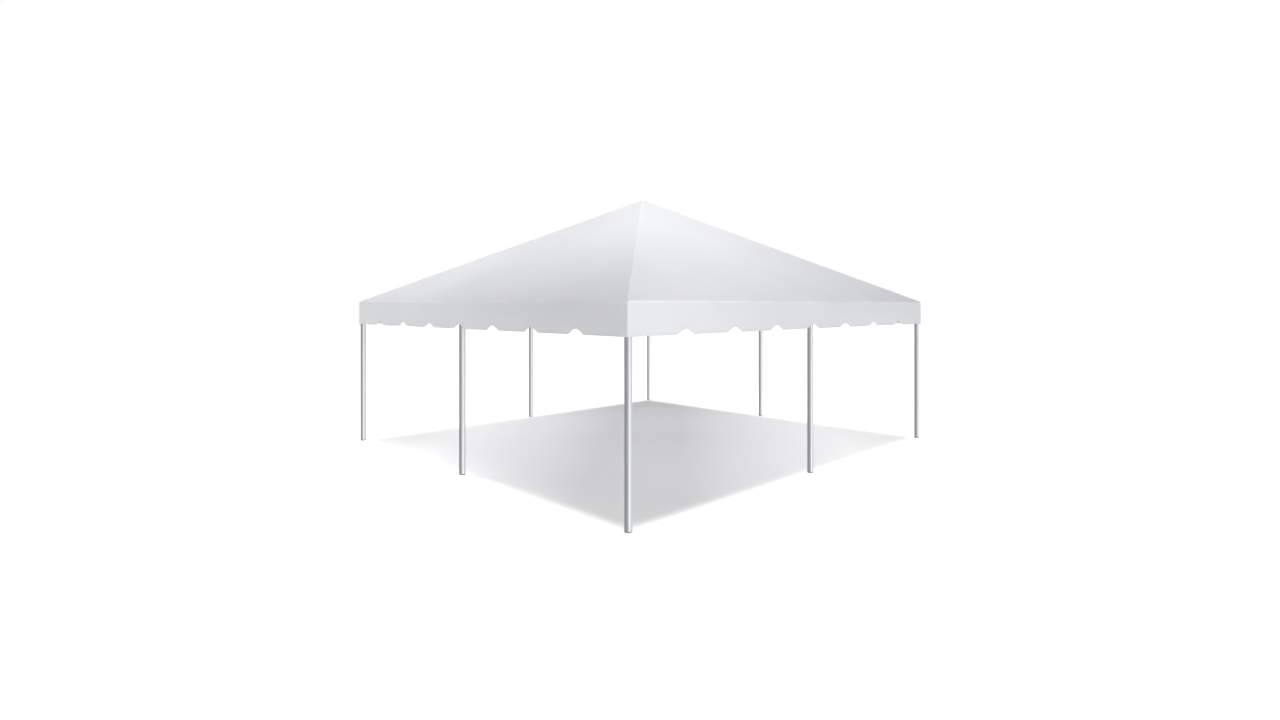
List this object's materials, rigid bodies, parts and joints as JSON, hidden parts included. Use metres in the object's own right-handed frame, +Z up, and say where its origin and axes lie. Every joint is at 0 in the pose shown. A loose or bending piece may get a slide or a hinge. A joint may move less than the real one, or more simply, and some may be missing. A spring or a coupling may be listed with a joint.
{
  "type": "frame marquee tent",
  "caption": "Square white frame tent: pyramid roof on rafters and eave rails, scalloped valance, round metal legs at the corners and mid-sides, open on every side.",
  "frame": {"origin": "on the ground under the peak, level with the undersides of the feet", "axes": "+Z up, +X towards the right side, -Y out of the front side"},
  "size_m": [6.096, 6.096, 3.6599],
  "materials": {
    "tube": "clear anodised drawn tube, satin sheen",
    "fitting": "welded sleeves, matt as fabricated",
    "roof_fabric": "white PVC coated polyester, soft satin",
    "valance_fabric": "white PVC coated polyester, soft satin, hemmed edge"
  },
  "bodies": {
    "root": {"leg_front_left": "tube", "leg_front_middle": "tube", "leg_front_right": "tube", "leg_right_middle": "tube", "leg_back_right": "tube", "leg_back_middle": "tube", "leg_back_left": "tube", "leg_left_middle": "tube", "eave_rail_front_left": "tube", "eave_rail_front_right": "tube", "eave_rail_right_front": "tube", "eave_rail_right_back": "tube", "eave_rail_back_right": "tube", "eave_rail_back_left": "tube", "eave_rail_left_back": "tube", "eave_rail_left_front": "tube", "hip_rafter_front_left": "tube", "hip_rafter_front_right": "tube", "hip_rafter_back_right": "tube", "hip_rafter_back_left": "tube", "side_rafter_front": "tube", "side_rafter_right": "tube", "side_rafter_back": "tube", "side_rafter_left": "tube", "corner_fitting_front_left": "fitting", "corner_fitting_front_right": "fitting", "corner_fitting_back_right": "fitting", "corner_fitting_back_left": "fitting", "side_fitting_front": "fitting", "side_fitting_right": "fitting", "side_fitting_back": "fitting", "side_fitting_left": "fitting", "crown_fitting": "fitting", "roof_panel_front": "roof_fabric", "roof_panel_right": "roof_fabric", "roof_panel_back": "roof_fabric", "roof_panel_left": "roof_fabric", "valance_front": "valance_fabric", "valance_right": "valance_fabric", "valance_back": "valance_fabric", "valance_left": "valance_fabric"}
  },
  "joints": []
}
